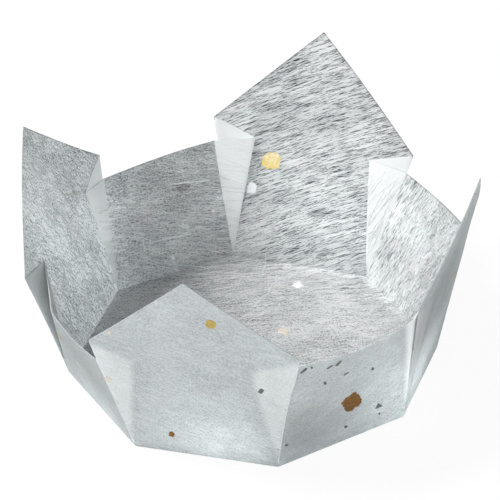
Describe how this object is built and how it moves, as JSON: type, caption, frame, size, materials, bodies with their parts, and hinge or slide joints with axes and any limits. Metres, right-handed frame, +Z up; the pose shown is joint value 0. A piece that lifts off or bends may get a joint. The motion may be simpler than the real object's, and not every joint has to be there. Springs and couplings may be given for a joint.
{
  "type": "folded paper snack box",
  "caption": "Open snack box folded from a square sheet of thin fibrous paper: flat floor, tall pointed walls, low bowed walls and inner pleats at the corners.",
  "frame": {"origin": "on the resting face, under the middle of the box's outline", "axes": "+Z up from the floor; the tall pointed walls lie towards +X, -X, +Y and -Y"},
  "size_m": [0.1128, 0.1164, 0.0641],
  "materials": {
    "fibre_paper": "thin translucent fibre paper, matte, with a few flecks of gold and silver leaf"
  },
  "bodies": {
    "root": {"folded_sheet": "fibre_paper"}
  },
  "joints": []
}
